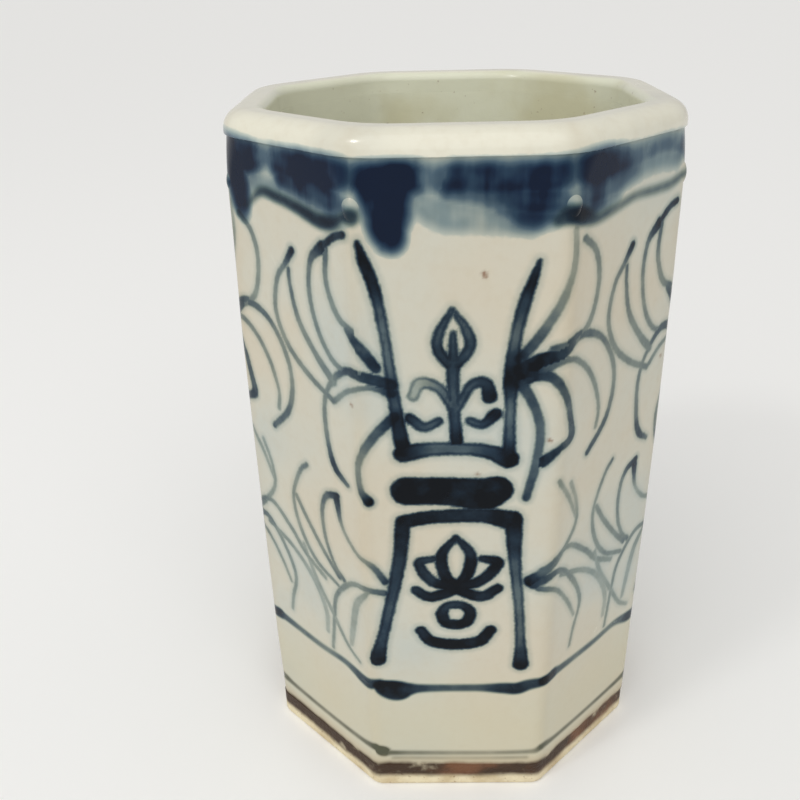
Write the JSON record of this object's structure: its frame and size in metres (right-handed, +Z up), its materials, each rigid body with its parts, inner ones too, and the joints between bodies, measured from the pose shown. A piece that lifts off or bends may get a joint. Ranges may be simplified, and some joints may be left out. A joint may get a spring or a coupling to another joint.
{
  "type": "brush holder pot",
  "caption": "Eight-sided open pot of glazed stoneware with a thick rolled lip and a bare clay foot ring, for standing writing brushes in.",
  "frame": {"origin": "centre of the face that the pot stands on, at the bottom of the foot ring", "axes": "+Z up out of the mouth, -Y out of the front panel, +X out of the right-hand main panel"},
  "size_m": [0.073, 0.073, 0.1224],
  "materials": {
    "painted_glaze": "glossy off-white glaze over cobalt brush painting",
    "white_glaze": "glossy white glaze",
    "inside_glaze": "glossy greyish cream glaze",
    "sprig_glaze": "glossy glaze with a thin blue wash",
    "bare_clay": "matt bare clay with an iron-brown band"
  },
  "bodies": {
    "root": {"foot_ring": "bare_clay", "floor_slab": "inside_glaze", "floor_seam_coil": "inside_glaze", "lip": "white_glaze", "wall_front": "painted_glaze", "wall_front_right": "painted_glaze", "wall_right": "painted_glaze", "wall_rear_right": "painted_glaze", "wall_rear": "painted_glaze", "wall_rear_left": "painted_glaze", "wall_left": "painted_glaze", "wall_front_left": "painted_glaze", "corner_seam_coil_1": "inside_glaze", "corner_seam_coil_2": "inside_glaze", "corner_seam_coil_3": "inside_glaze", "corner_seam_coil_4": "inside_glaze", "corner_seam_coil_5": "inside_glaze", "corner_seam_coil_6": "inside_glaze", "corner_seam_coil_7": "inside_glaze", "corner_seam_coil_8": "inside_glaze", "sprig_1": "sprig_glaze", "sprig_2": "sprig_glaze", "sprig_3": "sprig_glaze", "sprig_4": "sprig_glaze", "sprig_5": "sprig_glaze", "sprig_6": "sprig_glaze", "sprig_7": "sprig_glaze", "sprig_8": "sprig_glaze"}
  },
  "joints": []
}
